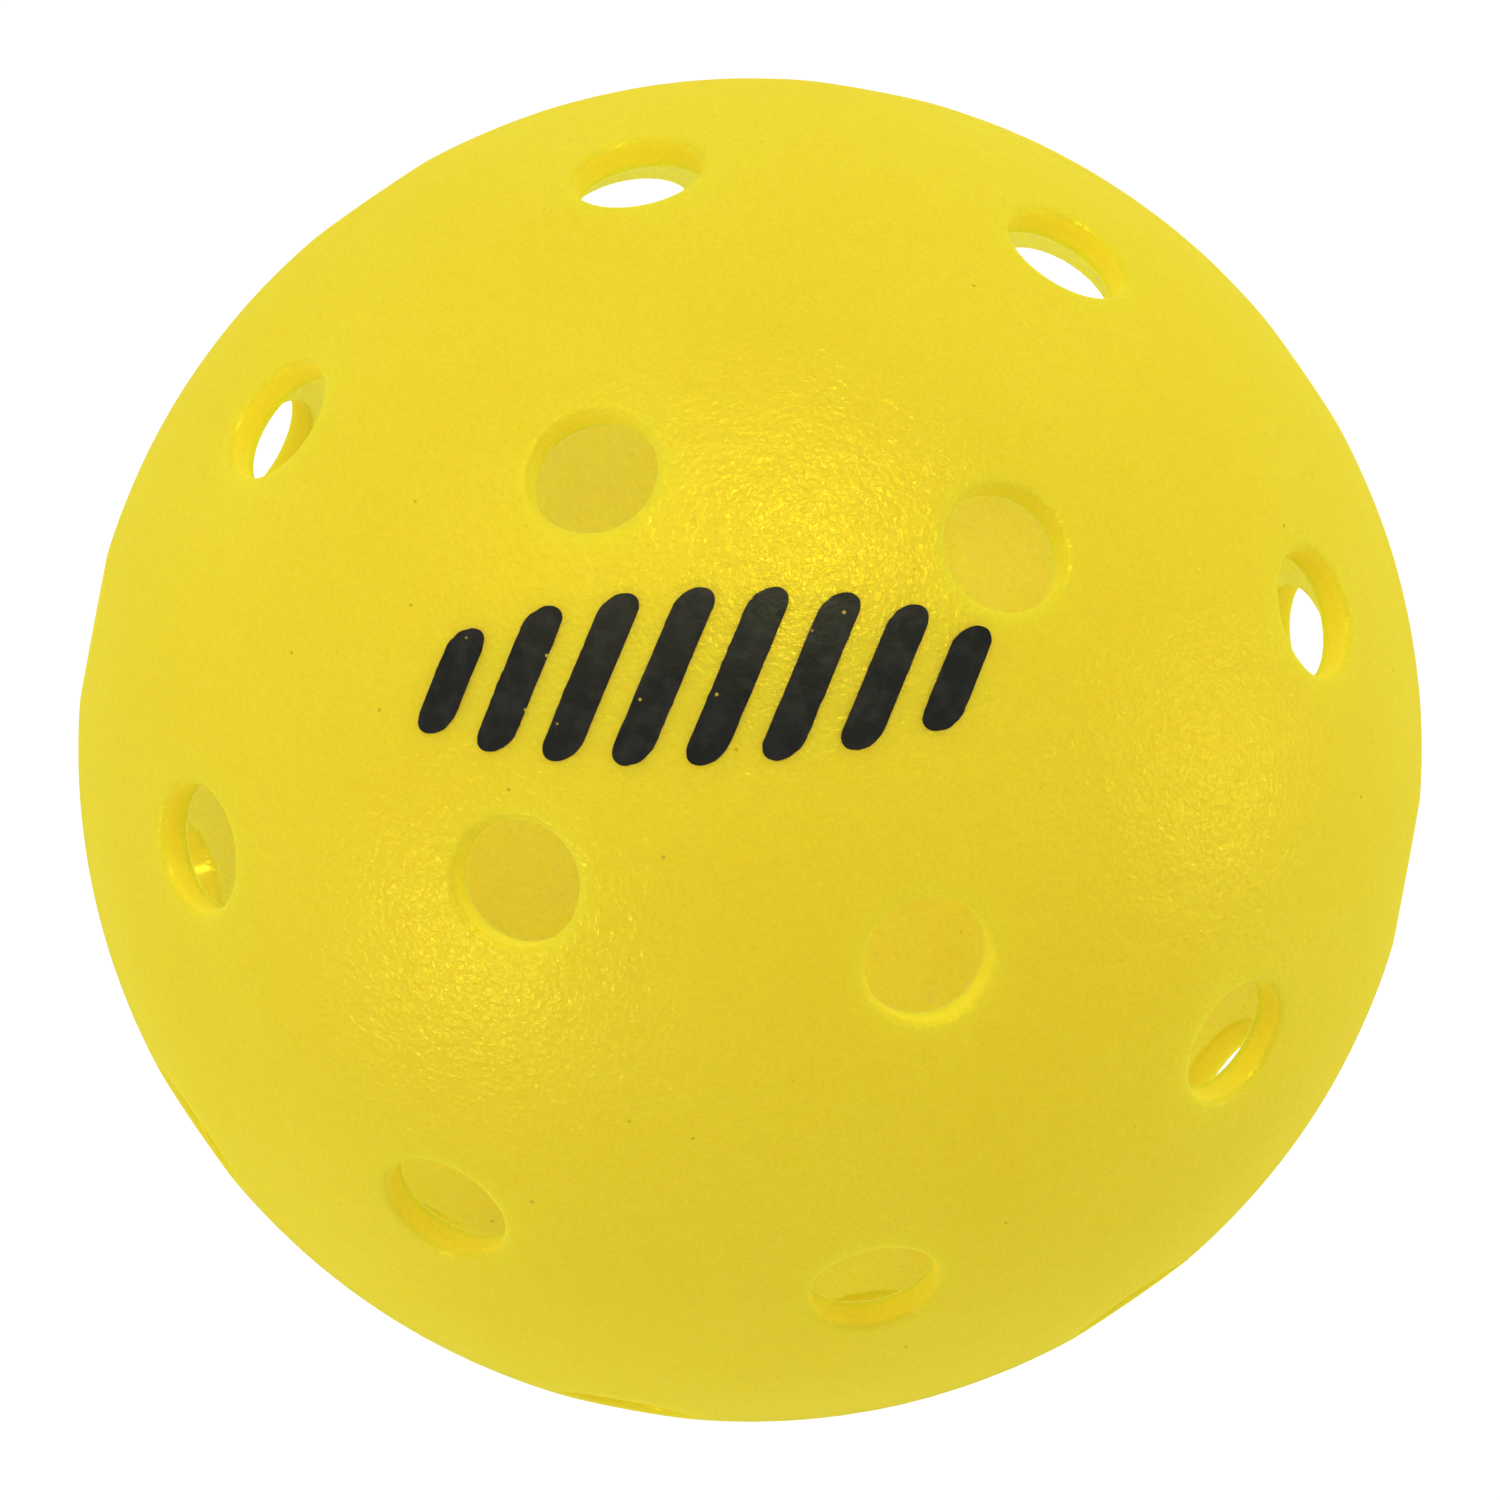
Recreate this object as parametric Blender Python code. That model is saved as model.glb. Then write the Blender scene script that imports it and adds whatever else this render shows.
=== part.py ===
"""Pickleball: a thin hollow ball of yellow plastic with thirty-two round holes.

Two moulded half shells meet at the equator. The weld that joins them leaves a small
bead on the inside of the wall, and the eight holes that lie on the seam cut that bead
into eight arcs.

Frame: metres. The origin is the centre of the ball, +Z points at the pole that carries
the print, and the seam lies in the XY plane.
"""

from math import asin, cos, pi, radians, sin, sqrt

import bmesh
import bpy
from mathutils import Matrix, Vector

# --- driving dimensions ---------------------------------------------------------------
BALL_DIAMETER = 0.0740
WALL = 0.0019
BORE_DIAMETER = 0.0072
MOUTH_EDGE = 0.00055  # how far the eased edge of a mouth reaches beyond the bore
MOUTH_DEPTH = 0.00045  # how far down the wall that edge begins

# Rings of holes: each half has an inner and an outer ring, at an angle from its own pole,
# and one more ring lies on the seam. The inner and seam rings sit half a step round from
# the outer rings, and the two inner rings are turned against each other by a whole step.
INNER_RING_POLAR = radians(26.4)
PRINTED_OUTER_RING_POLAR = radians(59.0)
PLAIN_OUTER_RING_POLAR = radians(63.0)
INNER_RING_COUNT = 4
OUTER_RING_COUNT = 8
SEAM_RING_COUNT = 8
PATTERN_TURN = radians(12.0)  # azimuth of the outer rings' first hole

SEAM_GAP = 0.0003  # width of the seam, split evenly by the equator
BEAD_WIDTH = 0.0016
BEAD_HEIGHT = 0.0006
BEAD_CLEARANCE = 0.00035  # from the bead to the wall and to the holes beside it

# --- mesh fineness --------------------------------------------------------------------
SHELL_SEGMENTS = 48
SHELL_BANDS = 12  # from the pole to the equator
HOLE_SEGMENTS = 16
BEAD_SEGMENTS = 6
BEAD_ARCH_SEGMENTS = 4
SHARP_EDGE = radians(30)

# --- derived sizes --------------------------------------------------------------------
OUTER_RADIUS = BALL_DIAMETER / 2
INNER_RADIUS = OUTER_RADIUS - WALL
BORE_RADIUS = BORE_DIAMETER / 2
MOUTH_RADIUS = BORE_RADIUS + MOUTH_EDGE
RING_STEP = 2 * pi / OUTER_RING_COUNT
HALF_STEP = RING_STEP / 2
PLUG_OVERRUN = 0.001  # how far a hole's cutter passes the wall on both sides

YELLOW = (0.85, 0.68, 0.035, 1.0)
WELD_YELLOW = (0.80, 0.62, 0.03, 1.0)
PLASTIC_ROUGHNESS = 0.42


def clear_scene():
    """Remove whatever the file opened with."""
    for obj in list(bpy.data.objects):
        bpy.data.objects.remove(obj, do_unlink=True)


def plastic(name, colour):
    """A plain moulded plastic."""
    material = bpy.data.materials.new(name)
    material.use_nodes = True
    shader = material.node_tree.nodes["Principled BSDF"]
    shader.inputs["Base Color"].default_value = colour
    shader.inputs["Roughness"].default_value = PLASTIC_ROUGHNESS
    shader.inputs["Metallic"].default_value = 0.0
    material.diffuse_color = colour
    return material


def add_object(name, bm, material=None):
    """Turn a bmesh into a smooth-shaded object with its faces pointing out."""
    bmesh.ops.recalc_face_normals(bm, faces=bm.faces)
    mesh = bpy.data.meshes.new(name)
    bm.to_mesh(mesh)
    bm.free()
    mesh.shade_smooth()
    mesh.set_sharp_from_angle(angle=SHARP_EDGE)
    if material:
        mesh.materials.append(material)
    obj = bpy.data.objects.new(name, mesh)
    bpy.context.scene.collection.objects.link(obj)
    return obj


def direction(polar, azimuth):
    """Unit vector at an angle from +Z and a turn about it."""
    return Vector((sin(polar) * cos(azimuth), sin(polar) * sin(azimuth), cos(polar)))


def revolve(bm, profile, segments, placement=Matrix.Identity(4)):
    """Turn a profile of (radius, height) points about Z; it starts and ends on the axis."""
    rings = []
    for radius, height in profile:
        if radius == 0.0:
            ring = [bm.verts.new(placement @ Vector((0.0, 0.0, height)))]
        else:
            ring = [
                bm.verts.new(placement @ Vector((radius * cos(turn), radius * sin(turn), height)))
                for turn in (2 * pi * step / segments for step in range(segments))
            ]
        rings.append(ring)
    for upper, lower in zip(rings, rings[1:]):
        for step in range(segments):
            following = (step + 1) % segments
            if len(upper) == 1:
                bm.faces.new((upper[0], lower[step], lower[following]))
            elif len(lower) == 1:
                bm.faces.new((upper[step], lower[0], upper[following]))
            else:
                bm.faces.new((upper[step], lower[step], lower[following], upper[following]))


def half_shell_profile():
    """Outside of the wall from the pole to the seam, then the inside back to the axis."""
    seam_height = SEAM_GAP / 2

    def arc(radius):
        points = [(0.0, radius)]
        for band in range(1, SHELL_BANDS):
            polar = (pi / 2) * band / SHELL_BANDS
            points.append((radius * sin(polar), radius * cos(polar)))
        points.append((sqrt(radius**2 - seam_height**2), seam_height))
        return points

    return arc(OUTER_RADIUS) + arc(INNER_RADIUS)[::-1]


def half_shell(name, side, material, plugs):
    """One moulded half: side is +1 above the equator and -1 below it."""
    bm = bmesh.new()
    revolve(bm, half_shell_profile(), SHELL_SEGMENTS, Matrix.Diagonal((1.0, 1.0, side, 1.0)))
    shell = add_object(name, bm, material)
    cut = shell.modifiers.new("holes", "BOOLEAN")
    cut.operation = "DIFFERENCE"
    cut.solver = "EXACT"
    cut.object = plugs
    return shell


def hole_directions():
    """Where the thirty-two holes point, ring by ring from the printed pole down."""
    outer = [PATTERN_TURN + RING_STEP * k for k in range(OUTER_RING_COUNT)]
    seam = [PATTERN_TURN + HALF_STEP + RING_STEP * k for k in range(SEAM_RING_COUNT)]
    printed_inner = seam[: 2 * INNER_RING_COUNT : 2]
    plain_inner = seam[1 : 2 * INNER_RING_COUNT : 2]
    rings = (
        (INNER_RING_POLAR, printed_inner),
        (PRINTED_OUTER_RING_POLAR, outer),
        (pi / 2, seam),
        (pi - PLAIN_OUTER_RING_POLAR, outer),
        (pi - INNER_RING_POLAR, plain_inner),
    )
    return [direction(polar, azimuth) for polar, turns in rings for azimuth in turns]


def plug_profile():
    """A bore with an eased outer edge, as heights above the centre of the ball."""
    mouth_height = sqrt(OUTER_RADIUS**2 - MOUTH_RADIUS**2)
    bottom = INNER_RADIUS - PLUG_OVERRUN
    top = OUTER_RADIUS + PLUG_OVERRUN
    return [
        (0.0, top),
        (MOUTH_RADIUS, top),
        (MOUTH_RADIUS, mouth_height),
        (BORE_RADIUS, mouth_height - MOUTH_DEPTH),
        (BORE_RADIUS, bottom),
        (0.0, bottom),
    ]


def hole_plugs():
    """The cutter: one plug for each hole."""
    bm = bmesh.new()
    profile = plug_profile()
    for outward in hole_directions():
        turn = outward.to_track_quat("Z", "Y").to_matrix().to_4x4()
        revolve(bm, profile, HOLE_SEGMENTS, turn)
    plugs = add_object("hole_plugs", bm)
    plugs.hide_render = True
    plugs.display_type = "WIRE"
    return plugs


def weld_bead(name, middle, material):
    """An arched bead along the seam, inside the wall, between two of the seam's holes."""
    bead_radius = INNER_RADIUS - BEAD_CLEARANCE
    hole_reach = asin((BORE_RADIUS + BEAD_CLEARANCE) / (bead_radius - BEAD_HEIGHT))
    reach = HALF_STEP - hole_reach
    section = []
    for step in range(BEAD_ARCH_SEGMENTS + 1):
        turn = pi * step / BEAD_ARCH_SEGMENTS
        section.append((bead_radius - BEAD_HEIGHT * sin(turn), BEAD_WIDTH / 2 * cos(turn)))

    bm = bmesh.new()
    slices = []
    for step in range(BEAD_SEGMENTS + 1):
        azimuth = middle + reach * (2 * step / BEAD_SEGMENTS - 1)
        slices.append([
            bm.verts.new((radius * cos(azimuth), radius * sin(azimuth), height))
            for radius, height in section
        ])
    corners = len(section)
    for near, far in zip(slices, slices[1:]):
        for corner in range(corners):
            following = (corner + 1) % corners
            bm.faces.new((near[corner], near[following], far[following], far[corner]))
    bm.faces.new(slices[0])
    bm.faces.new(slices[-1])
    return add_object(name, bm, material)


def build():
    """The whole ball."""
    clear_scene()
    shell_plastic = plastic("shell_plastic", YELLOW)
    weld_plastic = plastic("weld_plastic", WELD_YELLOW)
    plugs = hole_plugs()
    half_shell("printed_half_shell", 1.0, shell_plastic, plugs)
    half_shell("plain_half_shell", -1.0, shell_plastic, plugs)
    for number in range(SEAM_RING_COUNT):
        middle = PATTERN_TURN + RING_STEP * number
        weld_bead(f"weld_bead_{number + 1}", middle, weld_plastic)


build()
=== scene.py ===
"""Pickleball: the fine surface, materials, print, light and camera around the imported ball.

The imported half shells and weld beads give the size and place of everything. Each is
replaced by a finer mesh of the same shape, and the printed mark is added as a film of ink.
Lengths are in metres, +Z points at the pole that carries the print.
"""

from math import asin, atan2, cos, pi, radians, sin, sqrt

import bmesh
import bpy
from mathutils import Matrix, Vector, noise
from mathutils.geometry import delaunay_2d_cdt


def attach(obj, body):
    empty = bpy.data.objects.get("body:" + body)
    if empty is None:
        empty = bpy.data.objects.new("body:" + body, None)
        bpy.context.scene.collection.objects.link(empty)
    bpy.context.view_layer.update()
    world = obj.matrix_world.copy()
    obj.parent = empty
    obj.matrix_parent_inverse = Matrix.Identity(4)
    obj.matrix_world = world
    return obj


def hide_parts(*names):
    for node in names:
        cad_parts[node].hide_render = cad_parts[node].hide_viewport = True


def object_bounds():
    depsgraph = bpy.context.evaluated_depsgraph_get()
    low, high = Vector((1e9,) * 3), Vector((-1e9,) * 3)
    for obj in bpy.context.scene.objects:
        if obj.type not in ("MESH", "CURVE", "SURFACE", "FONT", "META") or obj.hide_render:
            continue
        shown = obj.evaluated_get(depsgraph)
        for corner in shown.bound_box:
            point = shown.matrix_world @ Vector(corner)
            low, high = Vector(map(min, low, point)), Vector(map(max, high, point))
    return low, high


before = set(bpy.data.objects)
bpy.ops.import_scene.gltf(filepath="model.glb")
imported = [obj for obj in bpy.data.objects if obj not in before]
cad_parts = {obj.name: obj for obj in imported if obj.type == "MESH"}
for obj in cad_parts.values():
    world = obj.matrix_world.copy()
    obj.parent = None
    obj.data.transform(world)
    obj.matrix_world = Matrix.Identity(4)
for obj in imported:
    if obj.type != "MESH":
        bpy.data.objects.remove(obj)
cad_low, cad_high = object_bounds()

# --- the ball's dimensions, as in the CAD model ----------------------------------------
INK_HEIGHT = 0.00002
OUTER_RADIUS = cad_high.z - INK_HEIGHT
WALL = 0.0019
INNER_RADIUS = OUTER_RADIUS - WALL
BORE_RADIUS = 0.0036
MOUTH_EDGE = 0.00055  # how far the rounded edge of a mouth reaches beyond the bore
MOUTH_DEPTH = 0.00045  # how far down the wall that edge goes
INSIDE_EDGE = 0.0001
INNER_RING_POLAR = radians(26.4)
PRINTED_OUTER_RING_POLAR = radians(59.0)
PLAIN_OUTER_RING_POLAR = radians(63.0)
PATTERN_TURN = radians(12.0)
RING_HOLES = 8  # in each outer ring and on the seam; an inner ring has half as many
RING_STEP = 2 * pi / RING_HOLES
HALF_STEP = RING_STEP / 2

# --- mesh fineness ----------------------------------------------------------------------
HOLE_SEGMENTS = 56
MOUTH_ROWS = 6
BORE_ROWS = 4
INSIDE_ROWS = 3
OUTER_SPREAD = 9000  # points that a whole sphere would get
INNER_SPREAD = 5000
SEAM_STEP = radians(0.75)
SEAM_ROWS = (0.0, 0.10, 0.20, 0.32, 0.5, 0.8, 1.3)  # degrees above the seam
COLLAR_ROWS = (0.0, 0.00022, 0.0006, 0.0011)  # distances outside a hole's rim
INSIDE_COLLAR_ROWS = COLLAR_ROWS[:3]
COLLAR_CLEARANCE = 0.0018  # how far the spread points stay off a hole's rim
SEAM_CLEARANCE = radians(1.9)  # and off the seam
SEAM_RIM_MARGIN = 0.4  # how far the row on the seam stays off a hole's rim, in seam steps
SEAM_POINT_MARGIN = radians(0.12)  # how far the rows above the seam stay off a hole's rim
COLLAR_POINT_MARGIN = radians(0.09)  # and off the collars around it
HOLE_CENTRE_SHARE = 0.97  # a triangle whose middle is within this share of a rim lies in the hole
MERGE_WITHIN = 1e-7  # on the unit disc that the sphere is laid out on
PRINT_MERGE_WITHIN = 1e-8
SHARP_ANGLE = radians(50)  # edges that turn more than this are shaded sharp

# --- unevenness of a moulded, drilled ball ----------------------------------------------
WAVE_HEIGHT = 0.000018
WAVE_SCALE = 190.0
HOLE_OVAL = 0.006
OVAL_PHASES = (9.0, 5.0, 3.0)  # how the oval's lean changes with a hole's place, along X, Y and Z
SEAM_GROOVE_DEPTH = 0.00009
SEAM_GROOVE_ANGLE = radians(0.22)
SEAM_RAGGED_SHARE = 0.5  # how much the groove's depth wanders along the seam
SEAM_RAGGED_SCALE = 14.0
SEAM_HALF_GAP = 0.000004  # between a half's edge and the seam's plane
SEAM_GAP_FADE = 0.001  # the height above the seam at which the half gap has faded out


def direction(polar, azimuth):
    """Unit vector at an angle from +Z and a turn about it."""
    return Vector((sin(polar) * cos(azimuth), sin(polar) * sin(azimuth), cos(polar)))


def hole_frame(outward):
    """Three unit vectors at a hole: along the ball's parallel, towards its pole, and out."""
    sideways = Vector((0, 0, 1)).cross(outward).normalized()
    upward = outward.cross(sideways)
    return sideways, upward, outward


def half_holes(side):
    """Directions of one half's twelve whole holes and eight seam holes, as if it were above."""
    outer_polar = PRINTED_OUTER_RING_POLAR if side > 0 else PLAIN_OUTER_RING_POLAR
    outer_turns = [PATTERN_TURN + RING_STEP * k for k in range(RING_HOLES)]
    seam_turns = [turn + HALF_STEP for turn in outer_turns]
    inner_turns = seam_turns[::2] if side > 0 else seam_turns[1::2]
    whole = [direction(outer_polar, turn) for turn in outer_turns]
    whole += [direction(INNER_RING_POLAR, turn) for turn in inner_turns]
    seam = [direction(pi / 2, turn) for turn in seam_turns]
    return whole, seam


def rim_point(axes, radius, turn, height):
    """A point beside a hole's axis, at a distance from it and a height above the centre."""
    sideways, upward, outward = axes
    return sideways * (radius * cos(turn)) + upward * (radius * sin(turn)) + outward * height


def oval(outward, turn):
    """How far a hole's radius strays from the round, as a factor."""
    x_phase, y_phase, z_phase = OVAL_PHASES
    phase = x_phase * outward.x + y_phase * outward.y + z_phase * abs(outward.z)
    return 1.0 + HOLE_OVAL * cos(2 * turn + phase) * abs(sin(turn))


def stereographic(unit):
    """The upper half of the unit sphere laid flat onto a disc."""
    return Vector((unit.x, unit.y)) / (1.0 + unit.z)


def spread(count):
    """Evenly spread unit vectors on the upper half of a sphere that holds count of them."""
    golden = pi * (3.0 - sqrt(5.0))
    for k in range(count // 2):
        height = 1.0 - (2 * k + 1) / count
        across = sqrt(1.0 - height * height)
        yield Vector((across * cos(golden * k), across * sin(golden * k), height))


def skin(sphere_radius, rim_radius, whole_holes, seam_holes, collar, spread_count):
    """Triangulate one side of the wall of the upper half, around its holes.

    Returns unit directions, triangles, and for each hole the indices of its rim."""
    points, edges, rims = [], [], []
    rim_angle = asin(rim_radius / sphere_radius)
    holes = whole_holes + seam_holes
    for hole, outward in enumerate(holes):
        axes = hole_frame(outward)
        on_seam = hole >= len(whole_holes)
        last = HOLE_SEGMENTS // 2 if on_seam else HOLE_SEGMENTS - 1
        for row, extra in enumerate(collar):
            start = len(points)
            for step in range(last + 1):
                turn = 2 * pi * step / HOLE_SEGMENTS
                radius = rim_radius * oval(outward, turn) + extra
                height = sqrt(sphere_radius**2 - radius**2)
                point = rim_point(axes, radius, turn, height).normalized()
                point.z = max(point.z, 0.0)
                points.append(point)
            if row == 0:
                row_edges = [(start + k, start + k + 1) for k in range(last)]
                if not on_seam:
                    row_edges.append((start + last, start))
                edges += row_edges
                rims.append(list(range(start, start + last + 1)))

    collar_angles = [asin((rim_radius + extra) / sphere_radius) for extra in collar[1:]]
    clear_angle = asin((rim_radius + COLLAR_CLEARANCE) / sphere_radius)

    for number, row in enumerate(SEAM_ROWS):
        lowest = number == 0
        margin = SEAM_STEP * SEAM_RIM_MARGIN if lowest else SEAM_POINT_MARGIN
        avoided = [] if lowest else collar_angles
        for step in range(round(2 * pi / SEAM_STEP)):
            unit = direction(pi / 2 - radians(row), SEAM_STEP * (step + 0.5 * (number % 2)))
            near = [o for o in seam_holes if unit.dot(o) > cos(clear_angle)]
            crowded = any(
                unit.angle(o) < rim_angle + margin
                or any(abs(unit.angle(o) - angle) < COLLAR_POINT_MARGIN for angle in avoided)
                for o in near
            )
            if not crowded:
                unit.z = 0.0 if lowest else unit.z
                points.append(unit.normalized())
    for unit in spread(spread_count):
        off_holes = all(unit.dot(outward) < cos(clear_angle) for outward in holes)
        if off_holes and unit.z > sin(SEAM_CLEARANCE):
            points.append(unit)

    flat = [stereographic(unit) for unit in points]
    _, _, triangles, originals, _, _ = delaunay_2d_cdt(flat, edges, [], 0, MERGE_WITHIN)
    source = [ids[0] if ids else None for ids in originals]
    rim_sets = [set(rim) for rim in rims]
    hole_angle = rim_angle * HOLE_CENTRE_SHARE
    kept = []
    for triangle in triangles:
        corners = [source[index] for index in triangle]
        if None in corners or len(set(corners)) < 3:
            continue
        middle = sum((points[c] for c in corners), Vector()).normalized()
        inside_hole = any(middle.angle(outward) < hole_angle for outward in holes)
        rim_fan = any(all(c in rim for c in corners) for rim in rim_sets)
        if not (inside_hole or rim_fan):
            kept.append(corners)
    return points, kept, rims


def wave(unit):
    """Slow unevenness of the moulded surface."""
    return WAVE_HEIGHT * noise.noise(unit * (WAVE_SCALE * OUTER_RADIUS))


def groove(unit):
    """How deep the seam's shallow groove is at a direction."""
    elevation = asin(min(1.0, abs(unit.z)))
    ragged = 1.0 + SEAM_RAGGED_SHARE * noise.noise(unit * SEAM_RAGGED_SCALE)
    return SEAM_GROOVE_DEPTH * ragged * max(0.0, 1.0 - (elevation / SEAM_GROOVE_ANGLE) ** 2)


def outer_radius(unit):
    """How far out the outer skin lies at a direction, never beyond the ball's radius."""
    return OUTER_RADIUS - groove(unit) + min(0.0, wave(unit) - WAVE_HEIGHT)


def wall_rows():
    """The profile of a hole's wall from the mouth's edge to the inside, as (radius, height)."""
    mouth = BORE_RADIUS + MOUTH_EDGE
    top = sqrt(OUTER_RADIUS**2 - mouth**2)
    inside = BORE_RADIUS + INSIDE_EDGE
    bottom = sqrt(INNER_RADIUS**2 - inside**2)
    rows = []
    for step in range(1, MOUTH_ROWS + 1):
        turn = pi / 2 * step / MOUTH_ROWS
        radius = BORE_RADIUS + MOUTH_EDGE * (1 - sin(turn))
        rows.append((radius, top - MOUTH_DEPTH * (1 - cos(turn))))
    bore_top, bore_bottom = top - MOUTH_DEPTH, bottom + INSIDE_EDGE
    for step in range(1, BORE_ROWS):
        rows.append((BORE_RADIUS, bore_top + (bore_bottom - bore_top) * step / BORE_ROWS))
    for step in range(INSIDE_ROWS):
        turn = pi / 2 * step / INSIDE_ROWS
        radius = BORE_RADIUS + INSIDE_EDGE * (1 - cos(turn))
        rows.append((radius, bore_bottom - INSIDE_EDGE * sin(turn)))
    return rows


def fine_half(name, side, material):
    """A fine closed mesh of one half shell; side is +1 above the seam and -1 below."""
    whole, on_seam = half_holes(side)
    mouth = BORE_RADIUS + MOUTH_EDGE
    inside_rim = BORE_RADIUS + INSIDE_EDGE
    outside = skin(OUTER_RADIUS, mouth, whole, on_seam, COLLAR_ROWS, OUTER_SPREAD)
    inside = skin(INNER_RADIUS, inside_rim, whole, on_seam, INSIDE_COLLAR_ROWS, INNER_SPREAD)
    bm = bmesh.new()
    outer = [bm.verts.new(u * outer_radius(u)) for u in outside[0]]
    inner = [bm.verts.new(u * (INNER_RADIUS + wave(u))) for u in inside[0]]
    for a, b, c in outside[1]:
        bm.faces.new((outer[a], outer[b], outer[c]))
    for a, b, c in inside[1]:
        bm.faces.new((inner[a], inner[c], inner[b]))
    for outward, outer_rim, inner_rim in zip(whole + on_seam, outside[2], inside[2]):
        axes = hole_frame(outward)
        closed = len(outer_rim) == HOLE_SEGMENTS
        upper = [outer[index] for index in outer_rim]
        for radius, height in wall_rows():
            lower = []
            for step in range(len(outer_rim)):
                turn = 2 * pi * step / HOLE_SEGMENTS
                point = rim_point(axes, radius * oval(outward, turn), turn, height)
                if not closed:
                    point.z = max(point.z, 0.0)
                lower.append(bm.verts.new(point))
            stitch(bm, upper, lower, closed)
            upper = lower
        stitch(bm, upper, [inner[index] for index in inner_rim], closed)
    loose = [v for v in bm.verts if not v.link_faces]
    bmesh.ops.delete(bm, geom=loose, context="VERTS")
    open_edges = [e for e in bm.edges if e.is_boundary]
    bmesh.ops.holes_fill(bm, edges=open_edges, sides=0)
    for vert in bm.verts:
        vert.co.z = (vert.co.z + SEAM_HALF_GAP * max(0.0, 1.0 - vert.co.z / SEAM_GAP_FADE)) * side
    face_outwards(bm)
    return finish_mesh(name, bm, material)


def stitch(bm, upper, lower, closed):
    """Join two rows of vertices with quads."""
    count = len(upper) if closed else len(upper) - 1
    for step in range(count):
        following = (step + 1) % len(upper)
        bm.faces.new((upper[step], lower[step], lower[following], upper[following]))


def face_outwards(bm):
    """Point every face of a closed mesh outwards."""
    bmesh.ops.recalc_face_normals(bm, faces=bm.faces)
    if bm.calc_volume(signed=True) < 0:
        bmesh.ops.reverse_faces(bm, faces=bm.faces)


def finish_mesh(name, bm, material):
    """Turn a bmesh into a smooth-shaded object."""
    mesh = bpy.data.meshes.new(name)
    bm.to_mesh(mesh)
    bm.free()
    mesh.shade_smooth()
    mesh.set_sharp_from_angle(angle=SHARP_ANGLE)
    mesh.materials.append(material)
    obj = bpy.data.objects.new(name, mesh)
    bpy.context.scene.collection.objects.link(obj)
    return obj


# --- materials --------------------------------------------------------------------------
class Nodes:
    """A short way to build a material's node tree."""

    def __init__(self, name):
        self.material = bpy.data.materials.new(name)
        self.material.use_nodes = True
        self.tree = self.material.node_tree
        self.shader = self.tree.nodes["Principled BSDF"]
        self.place = self.add("ShaderNodeTexCoord").outputs["Object"]

    def add(self, kind, **settings):
        node = self.tree.nodes.new(kind)
        for key, value in settings.items():
            setattr(node, key, value)
        return node

    def link(self, output, socket):
        self.tree.links.new(output, socket)

    def noise(self, size, detail=2.0, roughness=0.5, distortion=0.0):
        """Noise whose lumps are about size across."""
        node = self.add("ShaderNodeTexNoise")
        self.link(self.place, node.inputs["Vector"])
        node.inputs["Scale"].default_value = 1.0 / size
        node.inputs["Detail"].default_value = detail
        node.inputs["Roughness"].default_value = roughness
        node.inputs["Distortion"].default_value = distortion
        return node.outputs["Fac"]

    def cells(self, size):
        """Distance from scattered points about size apart."""
        node = self.add("ShaderNodeTexVoronoi")
        self.link(self.place, node.inputs["Vector"])
        node.inputs["Scale"].default_value = 1.0 / size
        return node.outputs["Distance"]

    def ramp(self, value, *stops):
        """Map a value through two (position, grey) stops."""
        node = self.add("ShaderNodeValToRGB")
        self.link(value, node.inputs["Fac"])
        for element, (position, grey) in zip(node.color_ramp.elements, stops):
            element.position = position
            element.color = (grey, grey, grey, 1.0)
        return node.outputs["Color"]

    def math(self, operation, first, second):
        node = self.add("ShaderNodeMath", operation=operation)
        for socket, value in zip(node.inputs, (first, second)):
            if isinstance(value, (int, float)):
                socket.default_value = value
            else:
                self.link(value, socket)
        return node.outputs["Value"]

    def mix(self, factor, first, second):
        """Blend two colours."""
        node = self.add("ShaderNodeMix", data_type="RGBA")
        if isinstance(factor, (int, float)):
            node.inputs[0].default_value = factor
        else:
            self.link(factor, node.inputs[0])
        for socket, value in zip((node.inputs[6], node.inputs[7]), (first, second)):
            if isinstance(value, tuple):
                socket.default_value = value
            else:
                self.link(value, socket)
        return node.outputs[2]

    def bump(self, height, strength, distance, below=None):
        node = self.add("ShaderNodeBump")
        node.inputs["Strength"].default_value = strength
        node.inputs["Distance"].default_value = distance
        self.link(height, node.inputs["Height"])
        if below:
            self.link(below, node.inputs["Normal"])
        return node.outputs["Normal"]


YELLOW = (0.885, 0.680, 0.040, 1.0)
PALE_YELLOW = (0.905, 0.707, 0.048, 1.0)
DEEP_YELLOW = (0.830, 0.608, 0.028, 1.0)
SPECK_BROWN = (0.42, 0.27, 0.02, 1.0)
INK_BLACK = (0.016, 0.016, 0.017, 1.0)
INK_WORN = (0.034, 0.033, 0.032, 1.0)

CLOUD_SIZE = 0.016
MOTTLE_SIZE = 0.0011
MOTTLE_SHARE = 0.10
GRAIN_SIZE = 0.00026
GRAIN_SHARE = 0.35
SPECK_SPACING = 0.0042
SPECK_SHARE = 0.55
GLOSS_PATCH_SIZE = 0.010
GLOSS_GRAIN_SIZE = 0.0006
GLOSS_GRAIN = 0.035  # how much the fine noise adds to the roughness
PEEL_SIZE = 0.0014
PEEL_HEIGHT = 0.00012
PEBBLE_SIZE = 0.00036
PEBBLE_HEIGHT = 0.00013
PIT_SPACING = 0.0016
PIT_DEPTH = 0.00008
PIT_STRENGTH = 0.6
TRANSLUCENCY = 0.75
BORE_PAINTED_GLOW = 0.08  # painted glow: emission that lifts the shade on the drilled walls
GLOSS_SHARE = 0.11  # mirrored with the plastic's own tint, and no stronger towards the rim
LIGHT_DEPTH = 0.0040  # how far light spreads inside the plastic
LIGHT_SPREAD = (1.0, 0.80, 0.12)  # shares of that depth for red, green and blue
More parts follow.
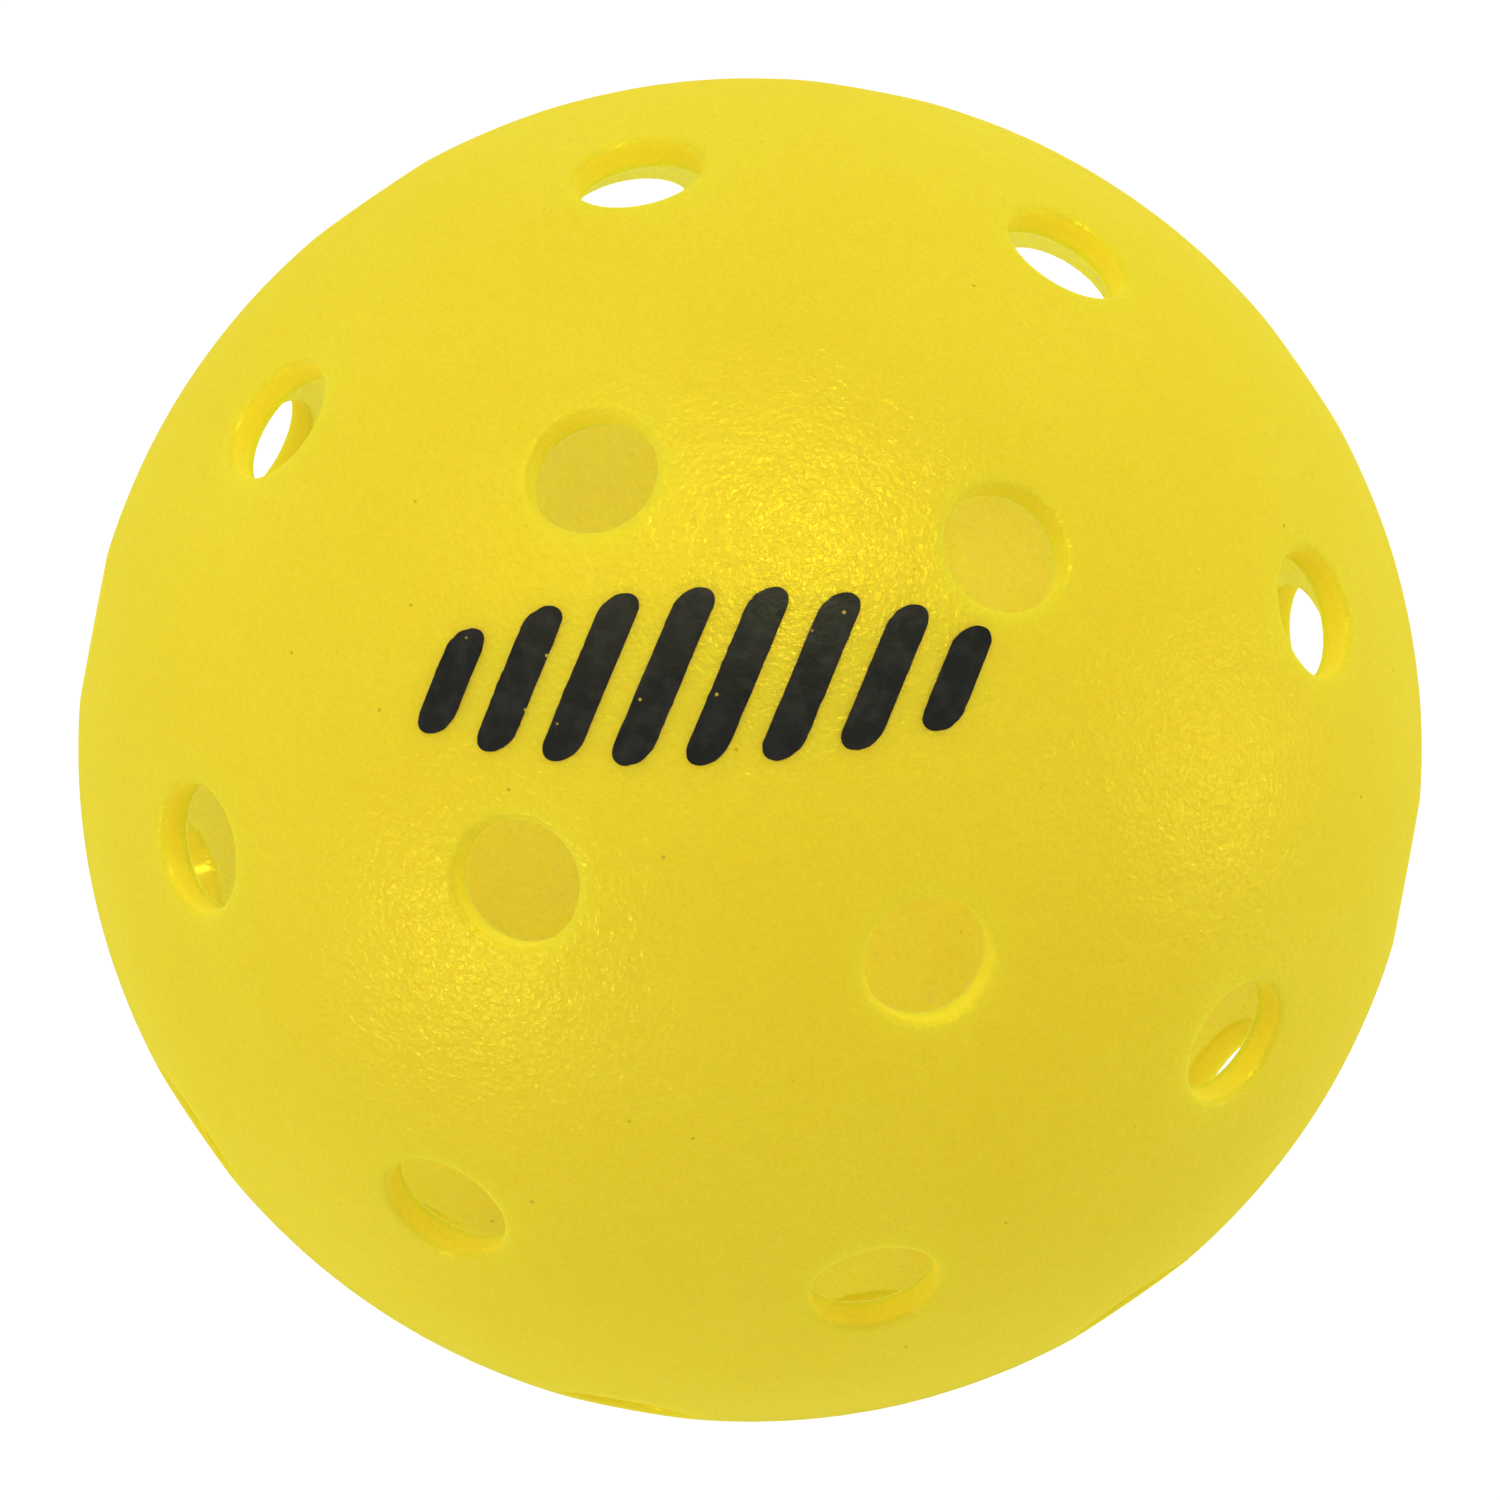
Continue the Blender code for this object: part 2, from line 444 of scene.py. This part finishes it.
SKIN_SHARES = (0.45, 0.80)  # of the way from the wall's middle to a skin, where the relief fades in

INK_WEAR_SIZE = 0.0012
PINHOLE_SPACING = 0.0017
PINHOLE_SHARE = 0.6
INK_GLOSS_SIZE = 0.002
INK_PEEL_SIZE = 0.0009
INK_PEEL_HEIGHT = 0.00012
INK_PEEL_STRENGTH = 0.35
INK_GRAIN_SIZE = 0.0003
INK_GRAIN_HEIGHT = 0.00003
INK_GRAIN_STRENGTH = 0.3
INK_SHEEN = 0.30


def moulded_share(n):
    """1 on the moulded skins inside and out, 0 on the smooth walls of the drilled holes."""
    from_centre = n.add("ShaderNodeVectorMath", operation="LENGTH")
    n.link(n.place, from_centre.inputs[0])
    from_middle = n.math("SUBTRACT", from_centre.outputs["Value"], OUTER_RADIUS - WALL / 2)
    share = n.math("DIVIDE", n.math("ABSOLUTE", from_middle, 0.0), WALL / 2)
    return n.ramp(share, (SKIN_SHARES[0], 0.0), (SKIN_SHARES[1], 1.0))


def yellow_plastic(name, deeper=0.0, relief=1.0):
    """Moulded polyethylene: translucent, pebbled like orange peel, with pits, specks and a painted
    glow in the bores.

    deeper is how far the colour goes towards the deep yellow, and relief scales the pebbles."""
    n = Nodes(name)
    cloud = n.ramp(n.noise(CLOUD_SIZE, 3.0), (0.35, 0.0), (0.65, 1.0))
    colour = n.mix(cloud, YELLOW, PALE_YELLOW)
    mottle = n.ramp(n.noise(MOTTLE_SIZE, 4.0, 0.65), (0.35, 0.0), (0.75, 1.0))
    colour = n.mix(n.math("MULTIPLY", mottle, MOTTLE_SHARE), colour, DEEP_YELLOW)
    grain = n.ramp(n.noise(GRAIN_SIZE, 2.0, 0.6), (0.38, 0.0), (0.64, 1.0))
    colour = n.mix(n.math("MULTIPLY", grain, GRAIN_SHARE), colour, DEEP_YELLOW)
    specks = n.ramp(n.cells(SPECK_SPACING), (0.018, 1.0), (0.036, 0.0))
    colour = n.mix(n.math("MULTIPLY", specks, SPECK_SHARE), colour, SPECK_BROWN)
    n.link(n.mix(deeper, colour, DEEP_YELLOW), n.shader.inputs["Base Color"])

    patch = n.ramp(n.noise(GLOSS_PATCH_SIZE, 3.0, 0.6, 0.6), (0.42, 0.17), (0.62, 0.23))
    fine = n.math("MULTIPLY", n.noise(GLOSS_GRAIN_SIZE, 3.0), GLOSS_GRAIN)
    n.link(n.math("ADD", patch, fine), n.shader.inputs["Roughness"])

    moulded = moulded_share(n)
    peel = n.math("SUBTRACT", n.noise(PEEL_SIZE), 0.5)
    peel = n.math("MULTIPLY", peel, moulded)
    pebbles = n.math("SUBTRACT", n.noise(PEBBLE_SIZE, distortion=0.3), 0.5)
    pebbles = n.math("MULTIPLY", pebbles, moulded)
    pits = n.ramp(n.cells(PIT_SPACING), (0.05, 1.0), (0.14, 0.0))
    pits = n.math("MULTIPLY", pits, moulded)
    waves = n.bump(peel, 1.0, PEEL_HEIGHT * relief)
    pebbled = n.bump(pebbles, 1.0, PEBBLE_HEIGHT * relief, waves)
    sunk = n.math("MULTIPLY", pits, -1.0)
    pitted = n.bump(sunk, PIT_STRENGTH, PIT_DEPTH * relief, pebbled)
    n.link(pitted, n.shader.inputs["Normal"])

    n.shader.inputs["Metallic"].default_value = GLOSS_SHARE
    n.shader.inputs["Emission Color"].default_value = YELLOW
    # painted glow: the drilled walls emit the plastic's yellow, which lifts their shade
    painted_glow_share = n.math("SUBTRACT", 1.0, moulded)
    n.link(n.math("MULTIPLY", painted_glow_share, BORE_PAINTED_GLOW), n.shader.inputs["Emission Strength"])
    n.shader.inputs["Subsurface Weight"].default_value = TRANSLUCENCY
    n.shader.inputs["Subsurface Radius"].default_value = LIGHT_SPREAD
    n.shader.inputs["Subsurface Scale"].default_value = LIGHT_DEPTH
    n.shader.inputs["Specular IOR Level"].default_value = 0.0
    return n.material


def black_ink(name):
    """Pad-printed ink: matt, a little uneven, with a few pinholes to the yellow below."""
    n = Nodes(name)
    wear = n.ramp(n.noise(INK_WEAR_SIZE, 4.0, 0.6), (0.45, 0.0), (0.80, 1.0))
    colour = n.mix(wear, INK_BLACK, INK_WORN)
    holes = n.ramp(n.cells(PINHOLE_SPACING), (0.045, 1.0), (0.075, 0.0))
    colour = n.mix(n.math("MULTIPLY", holes, PINHOLE_SHARE), colour, DEEP_YELLOW)
    n.link(colour, n.shader.inputs["Base Color"])
    roughness = n.ramp(n.noise(INK_GLOSS_SIZE, 3.0), (0.4, 0.36), (0.7, 0.50))
    n.link(roughness, n.shader.inputs["Roughness"])
    peel = n.bump(n.noise(INK_PEEL_SIZE, 3.0, 0.55), INK_PEEL_STRENGTH, INK_PEEL_HEIGHT)
    grain = n.bump(n.noise(INK_GRAIN_SIZE), INK_GRAIN_STRENGTH, INK_GRAIN_HEIGHT, peel)
    n.link(grain, n.shader.inputs["Normal"])
    n.shader.inputs["Specular IOR Level"].default_value = INK_SHEEN
    return n.material


# --- the weld beads -----------------------------------------------------------------------
BEAD_WIDTH = 0.0016
BEAD_HEIGHT = 0.0006
BEAD_FOOT_GAP = 0.00002  # between a bead and the wall
BEAD_END_MARGIN = 0.0006  # between a bead's end and a hole's wall
BEAD_SWELL = 0.14  # how much its height wanders along it
BEAD_SWELL_SCALE = 40
BEAD_END_SHARPNESS = 12  # the power that rounds off its ends
BEAD_END_LEAST = 0.02
BEAD_SLICES = 60
BEAD_ARCH = 12


def fine_bead(number, material):
    """The flash of the weld between two seam holes: a soft, slightly wavy ridge inside."""
    name = f"weld_bead_{number}"
    middle = PATTERN_TURN + RING_STEP * (number - 1)
    foot = INNER_RADIUS - BEAD_FOOT_GAP
    reach = HALF_STEP - asin((BORE_RADIUS + BEAD_END_MARGIN) / (INNER_RADIUS - BEAD_HEIGHT))
    bm = bmesh.new()
    previous = None
    for step in range(BEAD_SLICES + 1):
        share = 2 * step / BEAD_SLICES - 1
        azimuth = middle + reach * share
        taper = sqrt(max(BEAD_END_LEAST, 1 - abs(share) ** BEAD_END_SHARPNESS))
        wander = noise.noise(Vector((azimuth * BEAD_SWELL_SCALE, number, 0))) - 1.0
        swell = taper * (1.0 + BEAD_SWELL * wander)
        ring = []
        for corner in range(BEAD_ARCH + 1):
            turn = pi * corner / BEAD_ARCH
            radius = foot - BEAD_HEIGHT * swell * sin(turn)
            height = BEAD_WIDTH / 2 * taper * cos(turn)
            ring.append(bm.verts.new((radius * cos(azimuth), radius * sin(azimuth), height)))
        if previous:
            stitch(bm, previous, ring, True)
        else:
            bm.faces.new(ring)
        previous = ring
    bm.faces.new(previous[::-1])
    face_outwards(bm)
    return finish_mesh(name + "_fine", bm, material)


# --- the printed mark -----------------------------------------------------------------------
MARK_CENTRE = (-0.0034, 0.0020)
MARK_LENGTH = 0.0310
MARK_HEIGHT = 0.0100
MARK_BARS = 8
BAR_WIDTH = 0.0023
BAR_LEAN = 0.42
BAR_CAP_STEPS = 14
BAR_SIDE_STEPS = 20
MARK_ROWS = 24
MARK_ENVELOPE = 0.80  # how much the bars shorten towards both ends, as the sine of an arc
RAGGED_EDGE = 0.00005
RAGGED_SCALE = 2200
RAGGED_BAR_STEP = 0.01  # gives each bar an edge of its own
INK_TOP_SHARE = 0.9  # of the ink's height, so that the film stays inside the ball's size
INK_FOOT_DEPTH = 0.00008  # how far the film's underside sinks into the shell


def bar_outline(across, height):
    """A leaning bar with round ends, as points in the plane of the print."""
    cap = BAR_WIDTH / 2
    straight = max(0.0, height / 2 - cap)
    points = []
    for end in (1, -1):
        for step in range(BAR_CAP_STEPS + 1):
            turn = pi * step / BAR_CAP_STEPS + (0 if end == 1 else pi)
            points.append((cap * cos(turn), end * straight + cap * sin(turn)))
        for step in range(1, BAR_SIDE_STEPS):
            points.append((-end * cap, end * straight * (1 - 2 * step / BAR_SIDE_STEPS)))
    return [(across + x + BAR_LEAN * y, y) for x, y in points]


def onto_ball(x, y, radius):
    """A point of the print's plane wrapped onto the ball around the pole."""
    polar = sqrt(x * x + y * y) / OUTER_RADIUS
    return direction(polar, atan2(y, x)) * radius


def printed_mark(material):
    """Eight leaning bars under one curved envelope: a plain decoration with no meaning."""
    bm = bmesh.new()
    top_radius = OUTER_RADIUS + INK_HEIGHT * INK_TOP_SHARE
    foot_radius = OUTER_RADIUS - INK_FOOT_DEPTH
    cap = BAR_WIDTH / 2
    for bar in range(MARK_BARS):
        share = 2 * bar / (MARK_BARS - 1) - 1
        across = share * (MARK_LENGTH - BAR_WIDTH) / 2
        height = MARK_HEIGHT * sqrt(1.0 - (MARK_ENVELOPE * share) ** 2)
        outline = bar_outline(across, height)
        edges = [(k, (k + 1) % len(outline)) for k in range(len(outline))]
        filling = []
        for row in range(1, MARK_ROWS):
            y = (height - cap) * (row / MARK_ROWS - 0.5)
            filling += [(across + BAR_LEAN * y + side * cap, y) for side in (-0.5, 0.0, 0.5)]
        flat = [Vector(point) for point in outline + filling]
        laid, _, triangles, _, _, _ = delaunay_2d_cdt(flat, edges, [], 0, PRINT_MERGE_WITHIN)
        top, foot = [], []
        for point in laid:
            spot = Vector((point.x, point.y, RAGGED_BAR_STEP * bar)) * RAGGED_SCALE
            ragged = RAGGED_EDGE * noise.noise(spot)
            place = (MARK_CENTRE[0] + point.x + ragged, MARK_CENTRE[1] + point.y - ragged)
            top.append(bm.verts.new(onto_ball(*place, top_radius)))
            foot.append(bm.verts.new(onto_ball(*place, foot_radius)))
        for a, b, c in triangles:
            bm.faces.new((top[a], top[b], top[c]))
            bm.faces.new((foot[a], foot[c], foot[b]))
        lower = dict(zip(top, foot))
        rim = [e for e in bm.edges if e.is_boundary and all(v in lower for v in e.verts)]
        for edge in rim:
            a, b = edge.verts
            bm.faces.new((a, b, lower[b], lower[a]))
    face_outwards(bm)
    return finish_mesh("printed_mark", bm, material)


# --- the room ---------------------------------------------------------------------------
WHITE = (1.0, 1.0, 1.0, 1.0)
FLOOR_GREY = (0.06, 0.06, 0.06, 1.0)
FLOOR_ROUGHNESS = 0.9
FLOOR_GLOW = 1.02
FLOOR_SIZE = 16.0
BALL_SHARE = 0.8967  # of the picture's width that the ball fills
CAMERA_DISTANCE = 0.5
CAMERA_CLIP = (0.05, 5.0)
CAMERA_LEAN = Vector((-0.018, -0.057, 1.0))  # from the ball towards the camera
WORLD_GLOW = 0.672
WARM_WHITE = (1.0, 0.99, 0.45)
INNER_GLOW_PLACE = (0.0, 0.006, 0.0)
INNER_GLOW_RADIUS = 0.006
INNER_GLOW_POWER = 0.057
INNER_GLOW_COLOUR = (0.155, 0.272, 0.85)


def light_table(name):
    """A plain white floor that glows like a light table, so that no edge shows behind."""
    n = Nodes(name)
    n.shader.inputs["Base Color"].default_value = FLOOR_GREY
    n.shader.inputs["Roughness"].default_value = FLOOR_ROUGHNESS
    n.shader.inputs["Specular IOR Level"].default_value = 0.0
    n.shader.inputs["Emission Color"].default_value = WHITE
    n.shader.inputs["Emission Strength"].default_value = FLOOR_GLOW
    return n.material


def floor():
    """The plain floor under the ball. It lights the ball but doesn't mirror in it."""
    bm = bmesh.new()
    bmesh.ops.create_grid(bm, x_segments=1, y_segments=1, size=FLOOR_SIZE / 2)
    plane = finish_mesh("floor", bm, light_table("floor_white"))
    plane.location.z = cad_low.z
    plane.visible_glossy = False
    return plane


def area_light(name, polar, azimuth, distance, size, power, colour=WHITE[:3]):
    """A square softbox that faces the ball from an angle off the pole and a turn about it.

    Both are in degrees."""
    lamp = bpy.data.lights.new(name, "AREA")
    lamp.size = size
    lamp.energy = power
    lamp.color = colour
    obj = bpy.data.objects.new(name, lamp)
    towards = direction(radians(polar), radians(azimuth))
    obj.location = towards * distance
    obj.rotation_euler = towards.to_track_quat("Z", "Y").to_euler()
    obj.visible_camera = False
    bpy.context.scene.collection.objects.link(obj)


def inner_glow():
    """A small lamp near the ball's centre: it stands for the light that the walls let through."""
    lamp = bpy.data.lights.new("inner_glow", "POINT")
    lamp.shadow_soft_size = INNER_GLOW_RADIUS
    lamp.energy = INNER_GLOW_POWER
    lamp.color = INNER_GLOW_COLOUR
    obj = bpy.data.objects.new("inner_glow", lamp)
    obj.location = INNER_GLOW_PLACE
    obj.visible_camera = False
    obj.visible_glossy = False
    bpy.context.scene.collection.objects.link(obj)


def lights():
    """Softboxes above, low on the left and low on the right, the inner lamp, and a pale world."""
    area_light("key", 33, 74, distance=0.60, size=0.10, power=0.70, colour=WARM_WHITE)
    area_light("broad", 42, 130, distance=0.80, size=0.50, power=0.80, colour=WARM_WHITE)
    area_light("low_left", 62, 216, distance=0.50, size=0.06, power=0.29)
    area_light("low_right", 84, 358, distance=0.45, size=0.06, power=0.17)
    inner_glow()
    world = bpy.data.worlds.new("studio")
    bpy.context.scene.world = world
    world.use_nodes = True
    background = world.node_tree.nodes["Background"]
    background.inputs["Color"].default_value = WHITE
    background.inputs["Strength"].default_value = WORLD_GLOW
    world.cycles_visibility.glossy = False


def camera():
    """A view without perspective, from a few degrees off the pole that carries the print."""
    data = bpy.data.cameras.new("camera")
    data.type = "ORTHO"
    data.ortho_scale = 2 * cad_high.z / BALL_SHARE
    data.clip_start, data.clip_end = CAMERA_CLIP
    towards = CAMERA_LEAN.normalized()
    right = Vector((0, 1, 0)).cross(towards).normalized()
    up = towards.cross(right)
    obj = bpy.data.objects.new("camera", data)
    obj.location = towards * CAMERA_DISTANCE
    obj.rotation_euler = Matrix((right, up, towards)).transposed().to_euler()
    bpy.context.scene.collection.objects.link(obj)
    bpy.context.scene.camera = obj


def build():
    """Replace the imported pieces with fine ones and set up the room."""
    shell_plastic = yellow_plastic("shell_plastic_fine")
    weld_plastic = yellow_plastic("weld_plastic_fine", deeper=0.4, relief=0.3)
    for node, side in (("printed_half_shell", 1.0), ("plain_half_shell", -1.0)):
        fine = fine_half(node + "_fine", side, shell_plastic)
        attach(fine, "root")
        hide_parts(node)
    for number in range(1, RING_HOLES + 1):
        bead = fine_bead(number, weld_plastic)
        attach(bead, "root")
        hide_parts(f"weld_bead_{number}")
    mark = printed_mark(black_ink("print_ink_fine"))
    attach(mark, "root")
    floor()
    lights()
    camera()
    bpy.context.scene.view_settings.view_transform = "Standard"


build()
